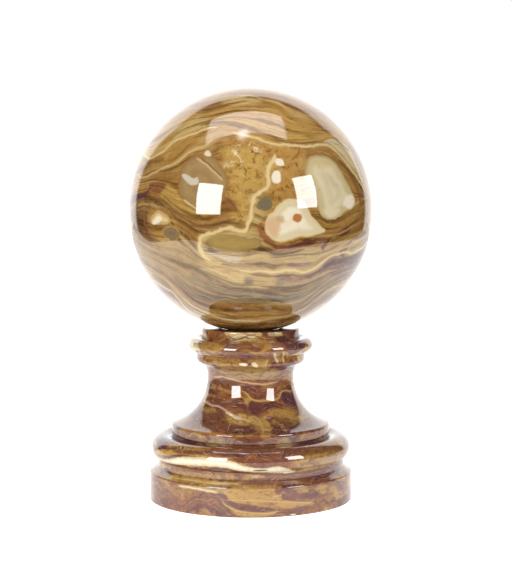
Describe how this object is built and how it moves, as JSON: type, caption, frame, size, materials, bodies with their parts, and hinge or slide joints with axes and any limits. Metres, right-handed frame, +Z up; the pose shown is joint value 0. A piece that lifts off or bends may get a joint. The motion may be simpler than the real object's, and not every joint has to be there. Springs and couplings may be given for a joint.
{
  "type": "decorative sphere",
  "caption": "Polished onyx-marble ball resting in the dished collar of its turned round pedestal, for display on a table or shelf.",
  "frame": {"origin": "centre of the pedestal's flat underside, on the surface that it stands on", "axes": "+Z up along the turning axis, through the sphere's centre; -Y is the front"},
  "size_m": [0.2, 0.2, 0.338],
  "materials": {
    "golden_onyx": "high polish, banded in gold, cream, olive and brown",
    "maroon_onyx": "high polish, veined in maroon, ochre and cream"
  },
  "bodies": {
    "root": {"sphere": "golden_onyx", "pedestal": "maroon_onyx"}
  },
  "joints": []
}
